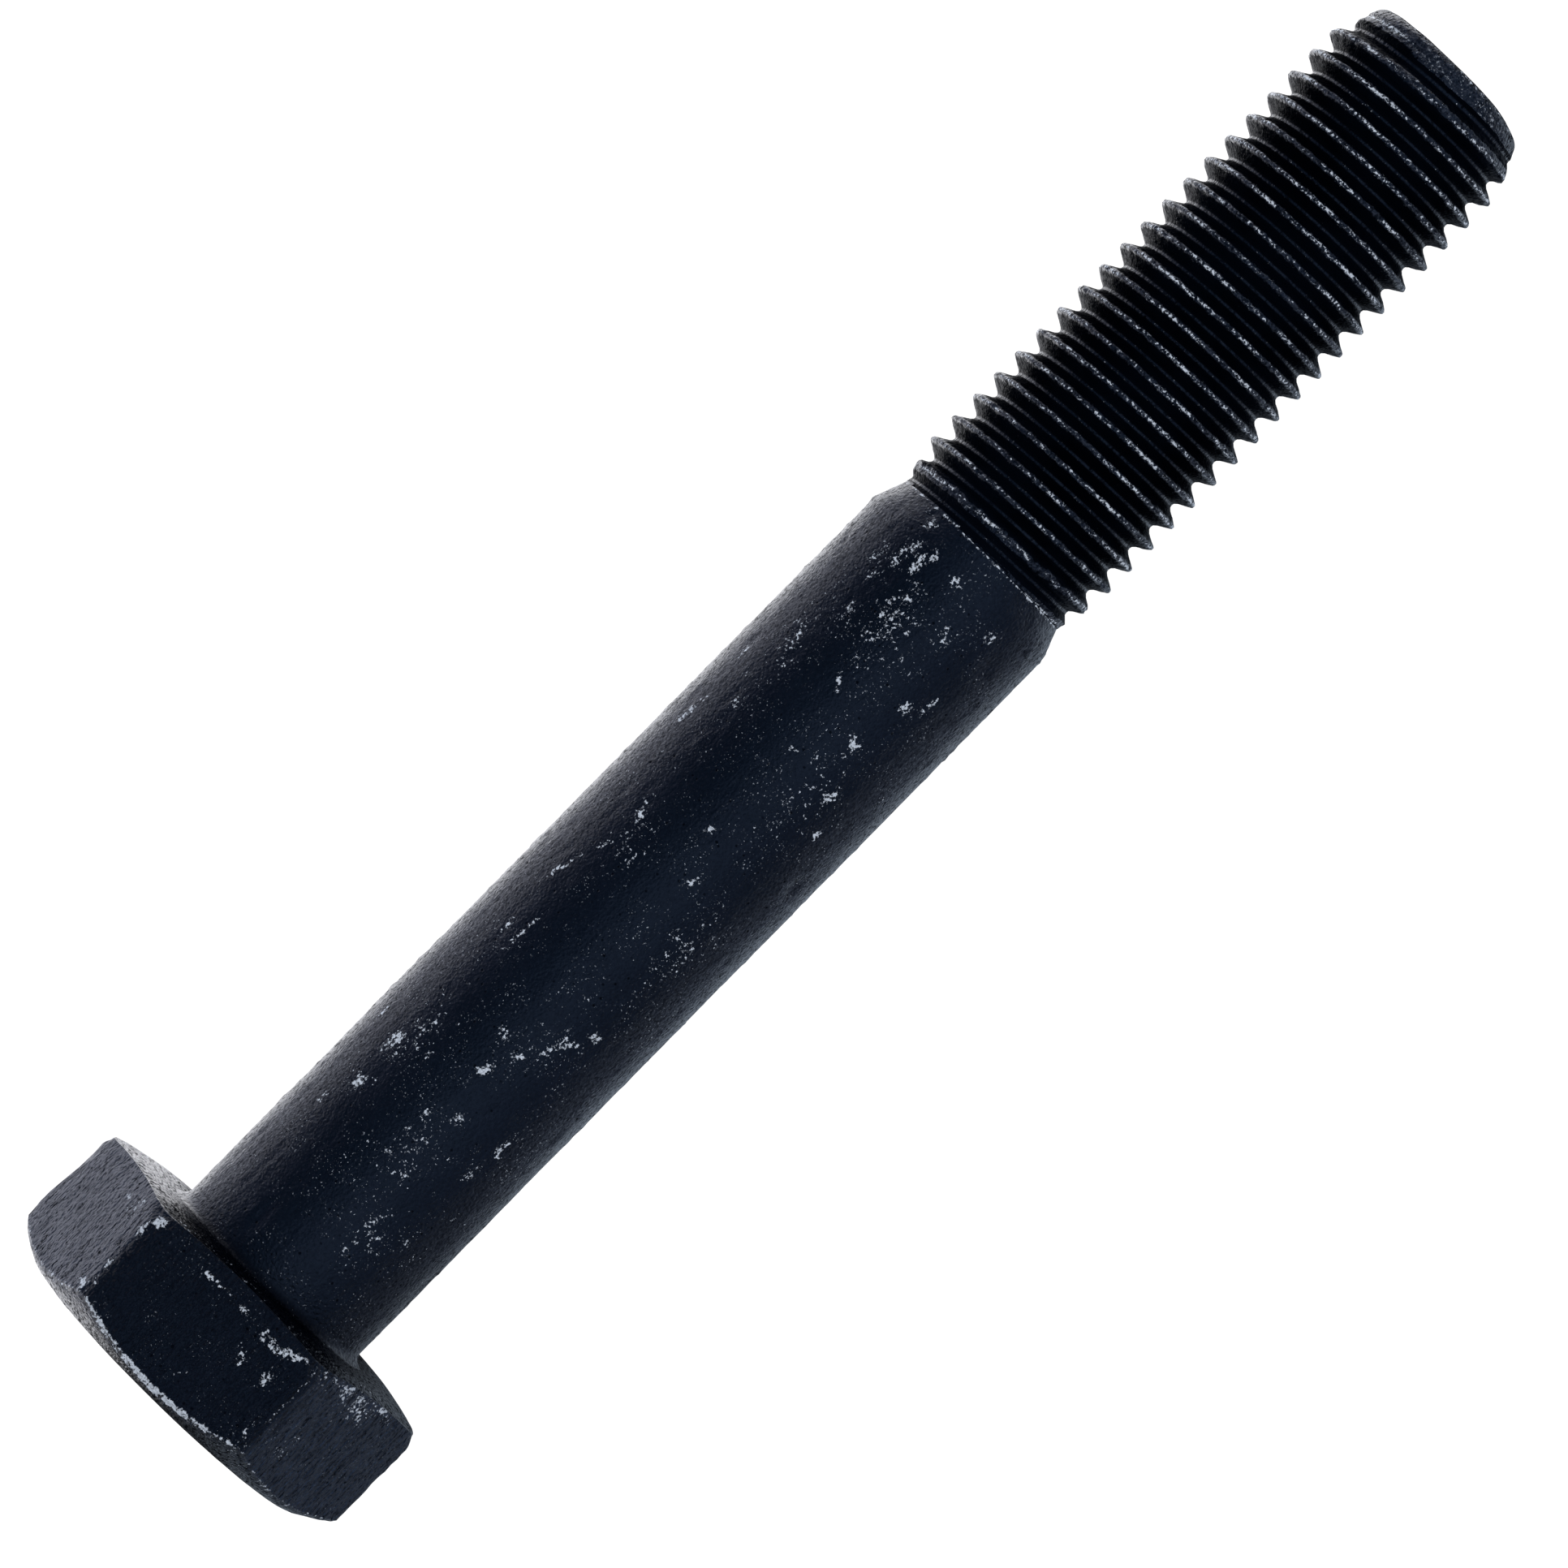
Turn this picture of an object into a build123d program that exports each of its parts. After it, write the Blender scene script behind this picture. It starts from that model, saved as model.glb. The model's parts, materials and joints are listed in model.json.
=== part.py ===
# Hex bolt, M20 coarse thread, 140 mm long under the head, partly threaded.
#
# Units are millimetres. The bolt lies along +X: the bearing face of the head is
# at X = 0, the head runs to negative X and the threaded point ends at X = LENGTH.
# Two of the six wrench flats face +Z and -Z, so two corners point to +Y and -Y.

from build123d import *

import os
from math import ceil, cos, radians, sin, tan

os.makedirs("parts", exist_ok=True)

# ---------------------------------------------------------------- dimensions

# head
ACROSS_FLATS = 32.0           # wrench size
HEAD_HEIGHT = 12.4            # bearing face to top of head
CORNER_ROUND = 1.5            # upright edges between neighbouring flats
TOP_CIRCLE_RADIUS = 14.4      # flat of the head top, inside the chamfer
TOP_CHAMFER_ANGLE = 30.0      # degrees, measured from the top face
BEARING_RADIUS = 14.7         # flat ring that clamps on the work
BEARING_CHAMFER_ANGLE = 11.0  # degrees, measured from the bearing face
UNDERHEAD_FILLET = 1.0        # between bearing face and shank

# shank
LENGTH = 140.0                # bearing face to point
SHANK_RADIUS = 9.75
SHOULDER_START = 81.9         # shank and cone lines meet here, under the rounding
SHOULDER_END = 84.4           # foot of the cone down to the thread blank
SHOULDER_ROUND = 4.0          # rounding at the top of the cone
BLANK_RADIUS = 8.8            # at the foot of the cone

# thread
PITCH = 2.5
CREST_RADIUS = 9.8
ROOT_RADIUS = 8.38            # lowest point of the rounded root
CREST_FLAT = 0.3              # width of the crest along the axis
FLANK_ANGLE = 30.0            # degrees, each flank from the square-on plane
FULL_CREST_START = 88.4       # from here on the crest has its full height
FULL_ROOT_START = 85.9        # from here on the root has its full depth
CREST_AT_TOP = 109.1          # X of one crest where it passes straight above the axis

# point
POINT_CHAMFER_START = 135.9
POINT_VIRTUAL_RADIUS = 7.8    # where the chamfer would meet the end face
POINT_ROUND = 1.0             # rounding between the chamfer and the end face

# construction allowances, which leave no mark on the finished shape
CLEAR = 0.3                   # how far a cutting outline stands outside the crests
CORE_OVERLAP = 1.0            # how far the core reaches in under the full thread

# ---------------------------------------------------------------- derived sizes

CORNER_REACH = ACROSS_FLATS / 2 / cos(radians(30))
TOP_DROP = (CORNER_REACH - TOP_CIRCLE_RADIUS) * tan(radians(TOP_CHAMFER_ANGLE))
BEARING_DROP = (CORNER_REACH - BEARING_RADIUS) * tan(radians(BEARING_CHAMFER_ANGLE))

# groove section: two flanks, tangent to a small arc at the root; the cutter stands
# a little proud of the crests so that it opens the groove cleanly
FLANK_SLOPE = tan(radians(FLANK_ANGLE))
SHARP_ROOT_RADIUS = CREST_RADIUS - (PITCH - CREST_FLAT) / 2 / FLANK_SLOPE
ROOT_ROUND = ROOT_RADIUS - SHARP_ROOT_RADIUS
TANGENT_HALF_WIDTH = ROOT_ROUND * cos(radians(FLANK_ANGLE))
TANGENT_RADIUS = SHARP_ROOT_RADIUS + TANGENT_HALF_WIDTH / FLANK_SLOPE
CUTTER_RADIUS = CREST_RADIUS + CLEAR
CUTTER_HALF_WIDTH = (CUTTER_RADIUS - SHARP_ROOT_RADIUS) * FLANK_SLOPE

# the groove starts a whole number of turns before the crest that sets its phase
GROOVE_AT_TOP = CREST_AT_TOP - PITCH / 2
GROOVE_START = GROOVE_AT_TOP - PITCH * ceil((GROOVE_AT_TOP - SHOULDER_END) / PITCH)
GROOVE_TURNS = ceil((LENGTH - GROOVE_START) / PITCH) + 1
BAR_START = GROOVE_START - 2 * PITCH
BAR_END = GROOVE_START + (GROOVE_TURNS + 2) * PITCH

# plain core that closes the groove again where the thread runs out
CORE_SLOPE = (BLANK_RADIUS - ROOT_RADIUS) / (FULL_ROOT_START - SHOULDER_END)
CORE_END = FULL_ROOT_START + CORE_OVERLAP
CORE_END_RADIUS = BLANK_RADIUS - CORE_SLOPE * (CORE_END - SHOULDER_END)
CREST_SLOPE = (CREST_RADIUS - BLANK_RADIUS) / (FULL_CREST_START - SHOULDER_END)
ENVELOPE_START = SHOULDER_END - CORE_OVERLAP / 2
ENVELOPE_RADIUS = BLANK_RADIUS - CREST_SLOPE * (SHOULDER_END - ENVELOPE_START)
ENVELOPE_TOP = CREST_RADIUS + CLEAR
POINT_SLOPE = (CREST_RADIUS - POINT_VIRTUAL_RADIUS) / (LENGTH - POINT_CHAMFER_START)

# ---------------------------------------------------------------- hex bolt

with BuildPart() as hex_bolt:
    # plain bar, longer than the thread at both ends
    with BuildSketch(Plane.YZ.offset(BAR_START)):
        Circle(CREST_RADIUS)
    extrude(amount=BAR_END - BAR_START)

    # right-hand groove, 60 degrees with a rounded root
    with BuildSketch(Plane.XZ):
        with BuildLine():
            Polyline(
                (GROOVE_START + TANGENT_HALF_WIDTH, TANGENT_RADIUS),
                (GROOVE_START + CUTTER_HALF_WIDTH, CUTTER_RADIUS),
                (GROOVE_START - CUTTER_HALF_WIDTH, CUTTER_RADIUS),
                (GROOVE_START - TANGENT_HALF_WIDTH, TANGENT_RADIUS),
            )
            ThreePointArc(
                (GROOVE_START - TANGENT_HALF_WIDTH, TANGENT_RADIUS),
                (GROOVE_START, ROOT_RADIUS),
                (GROOVE_START + TANGENT_HALF_WIDTH, TANGENT_RADIUS),
            )
        make_face()
    with BuildLine() as groove_path:
        Helix(
            pitch=PITCH,
            height=PITCH * GROOVE_TURNS,
            radius=ROOT_RADIUS,
            center=(GROOVE_START, 0, 0),
            direction=(1, 0, 0),
        )
    sweep(path=groove_path.wires()[0], is_frenet=True, mode=Mode.SUBTRACT)

    # outline of the crests: rising out of the shoulder, chamfered at the point
    with BuildSketch(Plane.XZ):
        with BuildLine():
            FilletPolyline(
                (ENVELOPE_START, 0),
                (ENVELOPE_START, ENVELOPE_RADIUS),
                (FULL_CREST_START + CLEAR / CREST_SLOPE, ENVELOPE_TOP),
                (POINT_CHAMFER_START - CLEAR / POINT_SLOPE, ENVELOPE_TOP),
                (LENGTH, POINT_VIRTUAL_RADIUS),
                (LENGTH, 0),
                radius=(0, 0, 0, POINT_ROUND),
            )
            Line((LENGTH, 0), (ENVELOPE_START, 0))
        make_face()
    revolve(axis=Axis.X, mode=Mode.INTERSECT)

    # shank, shoulder and run-out core in one turned piece
    with BuildSketch(Plane.XZ):
        with BuildLine():
            Polyline(
                (-UNDERHEAD_FILLET, 0),
                (-UNDERHEAD_FILLET, SHANK_RADIUS + UNDERHEAD_FILLET),
                (0, SHANK_RADIUS + UNDERHEAD_FILLET),
            )
            ThreePointArc(
                (0, SHANK_RADIUS + UNDERHEAD_FILLET),
                (UNDERHEAD_FILLET * (1 - cos(radians(45))),
                 SHANK_RADIUS + UNDERHEAD_FILLET * (1 - sin(radians(45)))),
                (UNDERHEAD_FILLET, SHANK_RADIUS),
            )
            FilletPolyline(
                (UNDERHEAD_FILLET, SHANK_RADIUS),
                (SHOULDER_START, SHANK_RADIUS),
                (SHOULDER_END, BLANK_RADIUS),
                (CORE_END, CORE_END_RADIUS),
                (CORE_END, 0),
                radius=(SHOULDER_ROUND, 0, 0),
            )
            Line((CORE_END, 0), (-UNDERHEAD_FILLET, 0))
        make_face()
    revolve(axis=Axis.X)

    # head: hexagon with rounded corners
    with BuildSketch(Plane.YZ.offset(-HEAD_HEIGHT)) as head_outline:
        RegularPolygon(radius=CORNER_REACH, side_count=6)
        fillet(head_outline.vertices(), radius=CORNER_ROUND)
    extrude(amount=HEAD_HEIGHT)

    # both ends of the hexagon turned down by a shallow cone
    with BuildSketch(Plane.XZ):
        with BuildLine():
            Polyline(
                (-HEAD_HEIGHT, TOP_CIRCLE_RADIUS),
                (-HEAD_HEIGHT, CORNER_REACH),
                (-HEAD_HEIGHT + TOP_DROP, CORNER_REACH),
                close=True,
            )
        make_face()
        with BuildLine():
            Polyline(
                (0, BEARING_RADIUS),
                (0, CORNER_REACH),
                (-BEARING_DROP, CORNER_REACH),
                close=True,
            )
        make_face()
    revolve(axis=Axis.X, mode=Mode.SUBTRACT)

hex_bolt.part.label = "hex_bolt"
export_step(hex_bolt.part, "parts/hex_bolt.step")
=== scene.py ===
"""Looks of a blackened hex bolt: one closed mesh over the CAD node, materials, stage, camera."""
import json
from math import atan2, cos, hypot, pi, radians, sin, tan

import bpy
import numpy as np
from mathutils import Matrix, Vector, noise


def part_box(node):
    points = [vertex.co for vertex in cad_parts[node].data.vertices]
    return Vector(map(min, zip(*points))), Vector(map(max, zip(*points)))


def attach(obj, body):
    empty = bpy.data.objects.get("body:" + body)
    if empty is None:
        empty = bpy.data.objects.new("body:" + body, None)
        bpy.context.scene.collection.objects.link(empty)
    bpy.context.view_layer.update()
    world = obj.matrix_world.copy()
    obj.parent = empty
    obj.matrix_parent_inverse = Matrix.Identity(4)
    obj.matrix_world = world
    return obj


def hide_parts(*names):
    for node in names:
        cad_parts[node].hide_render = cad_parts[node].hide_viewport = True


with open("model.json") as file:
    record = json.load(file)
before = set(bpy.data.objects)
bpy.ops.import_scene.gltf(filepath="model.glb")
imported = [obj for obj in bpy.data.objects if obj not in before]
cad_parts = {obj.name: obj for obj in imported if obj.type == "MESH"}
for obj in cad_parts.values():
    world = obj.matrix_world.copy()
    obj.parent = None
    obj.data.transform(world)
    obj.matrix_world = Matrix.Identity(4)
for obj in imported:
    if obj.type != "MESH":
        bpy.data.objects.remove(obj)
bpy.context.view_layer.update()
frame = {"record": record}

MM = 0.001

# ------------------------------------------------------------------ sizes, in millimetres
# The frame gives the outer sizes and the two radii. The rest are the bolt's own details.

NODE = "hex_bolt"
low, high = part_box(NODE)
mounts = {m["name"]: m for m in frame["record"]["mounts"]}

HEAD_TOP = low[0] / MM                       # X of the head's top face, negative
LENGTH = high[0] / MM                        # X of the point
HALF_FLATS = high[2] / MM                    # axis to a wrench flat
SHANK_RADIUS = mounts["shank"]["dims"]["r_mm"]
CREST_RADIUS = mounts["thread"]["dims"]["r_mm"]

CORNER_ROUND = 1.5
TOP_RADIUS = 14.4
TOP_SLOPE = tan(radians(30))
BEARING_RADIUS = 14.7
BEARING_SLOPE = tan(radians(11))
FILLET = 1.0

SHOULDER_START = 81.9
SHOULDER_END = 84.4
SHOULDER_ROUND = 4.0
BLANK_RADIUS = 8.8

PITCH = 2.5
ROOT_RADIUS = 8.38
CREST_FLAT = 0.3
FLANK = tan(radians(30))
CREST_AT_TOP = 109.1
FULL_CREST = 88.4
FULL_ROOT = 85.9
POINT_START = 135.9
POINT_VIRTUAL_RADIUS = 7.8
POINT_ROUND = 1.0
THREAD_END = 138.9                           # past the last trace of the groove

# ------------------------------------------------------------------ mesh resolution

COLUMNS = 192                                # round the axis
HALF_SIDE = COLUMNS // 12                    # columns from the middle of a flat to a corner
CORNER_COLUMNS = 4                           # of those, on the rounded corner
STEPS = (0, .11, .21, .46, .8, 1.04, 1.25, 1.46, 1.7, 2.04, 2.29, 2.39)
SIDE_ROWS = (0, .012, .03, .06, .1, .15, .21, .28, .36, .44, .52,
             .6, .68, .75, .81, .86, .9, .935, .965, .985, 1)
SHANK_SPACING = 0.55
ROUND_ROWS = 9                               # over the rounded edge of the point
OFF_THREAD = 2.0                             # distance from a crest where there is no thread
LAND = 0.19                                  # the same, on a blunt crest or the chamfered point
FIRST_LAND = 0.04                            # added on the first crests, which shine less
EDGE = 0.12                                  # mm between the last row of a face and its edge

# which part of the bolt a vertex belongs to
TOP, CHAMFER, SIDE, BEARING, SHANK, THREAD, POINT = range(7)


def smooth(a, b, x):
    """0 below a, 1 above b, and a smooth ramp between."""
    t = np.clip((np.asarray(x, float) - a) / (b - a), 0, 1)
    return t * t * (3 - 2 * t)


def noise_at(points, size, seed=0.0, octaves=1):
    """Smooth noise of about -1 to 1 at each point, with features of the given size in mm."""
    total, height, step = np.zeros(len(points)), 1.0, 1.0 / size
    for octave in range(octaves):
        shift = Vector((seed + 17.3 * octave, seed * 0.7 - 5.1, 3.9 - seed))
        total += height * np.array([noise.noise(Vector(p) * step + shift) for p in points])
        height *= 0.5
        step *= 2.0
    return total


# ------------------------------------------------------------------ outline of the bolt

def hexagon():
    """Angle from +Z and radius of every column on the head's outline."""
    angle, radius = [], []
    half = (HALF_FLATS - CORNER_ROUND) * tan(radians(30))
    flat_columns = HALF_SIDE - CORNER_COLUMNS
    for i in range(COLUMNS):
        side, k = divmod(i + HALF_SIDE, 2 * HALF_SIDE)
        k -= HALF_SIDE
        n = abs(k)
        if n <= flat_columns:
            across, out = half * (1 - (1 - n / flat_columns) ** 1.6), HALF_FLATS
        else:
            turn = radians(30) * (n - flat_columns) / CORNER_COLUMNS
            across = half + CORNER_ROUND * sin(turn)
            out = HALF_FLATS - CORNER_ROUND + CORNER_ROUND * cos(turn)
        angle.append(-pi + side * pi / 3 + (1 if k >= 0 else -1) * atan2(across, out))
        radius.append(hypot(across, out))
    return np.array(angle), np.array(radius)


def thread_radius(u):
    """Thread form at a distance u from the middle of a crest, for u up to half a pitch."""
    sharp = CREST_RADIUS - (PITCH - CREST_FLAT) / 2 / FLANK
    root = ROOT_RADIUS - sharp
    flank = CREST_RADIUS - np.maximum(u - CREST_FLAT / 2, 0) / FLANK
    across = np.minimum(PITCH / 2 - u, root * 0.999)
    arc = sharp + 2 * root - np.sqrt(root ** 2 - across ** 2)
    return np.where(PITCH / 2 - u < root * cos(radians(30)), arc, flank)


def crest_limit(x):
    """Outline that the crests keep within: rising from the shoulder, chamfered at the point."""
    growth, taper = CREST_RADIUS - BLANK_RADIUS, CREST_RADIUS - POINT_VIRTUAL_RADIUS
    rise = BLANK_RADIUS + growth * (x - SHOULDER_END) / (FULL_CREST - SHOULDER_END)
    fall = CREST_RADIUS - taper * (x - POINT_START) / (LENGTH - POINT_START)
    return np.minimum(np.minimum(rise, fall), CREST_RADIUS)


def core_limit(x):
    """Plain core that closes the groove where the thread runs out."""
    drop = BLANK_RADIUS - ROOT_RADIUS
    return BLANK_RADIUS - drop * (x - SHOULDER_END) / (FULL_ROOT - SHOULDER_END)


def shoulder_profile():
    """(x, radius) down the rounded shoulder and its cone to the thread blank."""
    slope = atan2(SHANK_RADIUS - BLANK_RADIUS, SHOULDER_END - SHOULDER_START)
    reach = SHOULDER_ROUND * tan(slope / 2)
    points = []
    for k in range(6):
        turn = slope * k / 5
        points.append((SHOULDER_START - reach + SHOULDER_ROUND * sin(turn),
                       SHANK_RADIUS - SHOULDER_ROUND * (1 - cos(turn))))
    x0, r0 = points[-1]
    for k in range(1, 6):
        points.append((x0 + (SHOULDER_END - x0) * k / 5, r0 + (BLANK_RADIUS - r0) * k / 5))
    return points


def point_profile():
    """(x, radius) from the end of the thread over the rounded edge to the end face."""
    slope = (CREST_RADIUS - POINT_VIRTUAL_RADIUS) / (LENGTH - POINT_START)
    lean = atan2(slope, 1)
    reach = POINT_ROUND * tan((pi / 2 - lean) / 2)
    x1 = LENGTH - reach * cos(lean)
    r1 = POINT_VIRTUAL_RADIUS + reach * sin(lean)
    points = [(THREAD_END, r1 + (x1 - THREAD_END) * slope)]
    for k in range(ROUND_ROWS):
        turn = lean + (pi / 2 - lean) * k / (ROUND_ROWS - 1)
        points.append((x1 + POINT_ROUND * (sin(turn) - sin(lean)),
                       r1 - POINT_ROUND * (cos(lean) - cos(turn))))
    edge = points[-1][1]
    points += [(LENGTH, edge * k / 6) for k in range(5, 0, -1)]
    return points


# ------------------------------------------------------------------ the mesh

def head_and_shank_rows(even, hexed, reach):
    """Rows of (part, angle, x, radius) from the top of the head to the foot of the shoulder."""
    ones = np.ones(COLUMNS)
    rows = []
    for k in range(1, 9):
        rows.append((TOP, hexed, HEAD_TOP * ones, (TOP_RADIUS - EDGE) * k / 8 * ones))
    for k in (0.02, 0.3, 0.6, 0.93):
        r = TOP_RADIUS + (reach - TOP_RADIUS) * k
        rows.append((CHAMFER, hexed, HEAD_TOP + (r - TOP_RADIUS) * TOP_SLOPE, r))
    top = HEAD_TOP + (reach - TOP_RADIUS) * TOP_SLOPE
    bottom = -(reach - BEARING_RADIUS) * BEARING_SLOPE
    for k in SIDE_ROWS:
        rows.append((SIDE, hexed, top + (bottom - top) * k, reach))
    for k in (0.1, 0.5, 0.95):
        r = reach + (BEARING_RADIUS - reach) * k
        rows.append((BEARING, hexed, -(r - BEARING_RADIUS) * BEARING_SLOPE, r))
    inner = SHANK_RADIUS + FILLET
    for k in range(1, 6):
        mix = k / 5
        rows.append((BEARING, hexed + (even - hexed) * mix, 0 * ones,
                     (BEARING_RADIUS - EDGE + (inner - BEARING_RADIUS + EDGE) * mix) * ones))
    for k in range(1, 7):
        turn = pi / 2 * k / 6
        rows.append((SHANK, even, FILLET * (1 - cos(turn)) * ones,
                     (inner - FILLET * sin(turn)) * ones))
    shoulder = shoulder_profile()
    plain = shoulder[0][0] - FILLET
    count = round(plain / SHANK_SPACING)
    for k in range(1, count):
        rows.append((SHANK, even, (FILLET + plain * k / count) * ones, SHANK_RADIUS * ones))
    for x, r in shoulder:
        rows.append((SHANK, even, x * ones, r * ones))
    return rows


def build_bolt():
    """Part, angle, x, radius and distance from a crest of every vertex, and the faces."""
    even = -pi + 2 * pi * np.arange(COLUMNS) / COLUMNS
    hexed, reach = hexagon()
    first = head_and_shank_rows(even, hexed, reach)
    last = [(even, x * np.ones(COLUMNS), r * np.ones(COLUMNS)) for x, r in point_profile()]

    part = np.repeat([row[0] for row in first], COLUMNS)
    angle = np.concatenate([row[1] for row in first])
    x = np.concatenate([row[2] for row in first])
    r = np.concatenate([row[3] for row in first])
    crest = np.full(len(x), OFF_THREAD)
    start_row = (len(first) - 1) * COLUMNS

    # helical rows: each keeps its place on the thread form all the way round
    turns = len(STEPS)
    base = CREST_AT_TOP - PITCH * np.ceil((CREST_AT_TOP - SHOULDER_END) / PITCH + 1)
    count = int(np.ceil((THREAD_END - base) / PITCH + 2)) * turns
    j = np.arange(count)
    row_x = base + PITCH * (j // turns) + np.array(STEPS)[j % turns]
    grid_x = row_x[:, None] + PITCH * even[None, :] / (2 * pi)
    u = np.minimum(np.array(STEPS)[j % turns], PITCH - np.array(STEPS)[j % turns])
    margin = 0.05
    inside = (grid_x > SHOULDER_END + margin) & (grid_x < THREAD_END - margin)
    number = np.where(grid_x <= SHOULDER_END + margin, start_row + np.arange(COLUMNS)[None, :], -1)
    number[inside] = len(x) + np.arange(inside.sum())
    form = np.broadcast_to(u[:, None], grid_x.shape)[inside]
    tx = grid_x[inside]
    tr = np.maximum(np.minimum(thread_radius(form), crest_limit(tx)), core_limit(tx))
    blunt = smooth(0.10, 0.0, crest_limit(tx) - tr)
    land = LAND + FIRST_LAND * smooth(FULL_CREST, FULL_CREST - 2, tx)
    form = form + blunt * (np.minimum(form, land) - form)
    angle = np.concatenate([angle, np.broadcast_to(even[None, :], grid_x.shape)[inside]])
    x, r, crest = np.concatenate([x, tx]), np.concatenate([r, tr]), np.concatenate([crest, form])
    part = np.concatenate([part, np.full(len(tx), THREAD)])

    end_row = len(x)
    end_numbers = np.broadcast_to(end_row + np.arange(COLUMNS)[None, :], number.shape)
    number[number < 0] = end_numbers[number < 0]
    angle = np.concatenate([angle] + [row[0] for row in last])
    x = np.concatenate([x] + [row[1] for row in last])
    r = np.concatenate([r] + [row[2] for row in last])
    land_rows = 1 + ROUND_ROWS
    crest = np.concatenate([crest, np.full(land_rows * COLUMNS, LAND),
                            np.full((len(last) - land_rows) * COLUMNS, OFF_THREAD)])
    part = np.concatenate([part, np.full(len(last) * COLUMNS, POINT), [TOP, POINT]])

    faces = []

    def band(a, b):
        """Quads between two rows of vertex numbers, b further along the axis."""
        for i in range(COLUMNS):
            k = (i + 1) % COLUMNS
            faces.append((a[i], a[k], b[k], b[i]))

    ring = np.arange(COLUMNS)
    for row in range(len(first) - 1):
        band(row * COLUMNS + ring, (row + 1) * COLUMNS + ring)
    for row in range(len(last) - 1):
        band(end_row + row * COLUMNS + ring, end_row + (row + 1) * COLUMNS + ring)
    for i in range(COLUMNS):
        here = number[: count - turns, i]
        after = number[: count - turns, i + 1] if i + 1 < COLUMNS else number[turns:, 0]
        for k in range(len(here) - 1):
            corners = []
            for v in (here[k], after[k], after[k + 1], here[k + 1]):
                if v not in corners:
                    corners.append(v)
            if len(corners) > 2:
                faces.append(tuple(corners))

    poles = len(x)
    for i in range(COLUMNS):
        k = (i + 1) % COLUMNS
        faces.append((poles, k, i))
        tail = end_row + (len(last) - 1) * COLUMNS
        faces.append((poles + 1, tail + i, tail + k))
    angle = np.concatenate([angle, [0, 0]])
    x = np.concatenate([x, [HEAD_TOP, LENGTH]])
    r = np.concatenate([r, [0, 0]])
    crest = np.concatenate([crest, [OFF_THREAD, OFF_THREAD]])
    return part, angle, x, r, crest, [tuple(int(v) for v in f) for f in faces]


# ------------------------------------------------------------------ wear, marks and painted shade
# Places are (x in mm, degrees round from straight above, positive towards -Y).

DENTS = (  # place, length, width and depth in mm
    (4.0, -21, 1.5, 0.6, 0.22),
    (13.2, 11, 0.6, 0.5, 0.08),
    (54.0, 62, 0.9, 0.7, 0.30),
    (78.0, 48, 0.8, 0.6, 0.14),
    (66.0, -58, 1.2, 0.6, 0.10),
    (-8.5, -9, 0.9, 0.5, 0.12),
    (30.0, 150, 1.1, 0.7, 0.16),
    (61.0, -140, 1.0, 0.8, 0.18),
)

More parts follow.
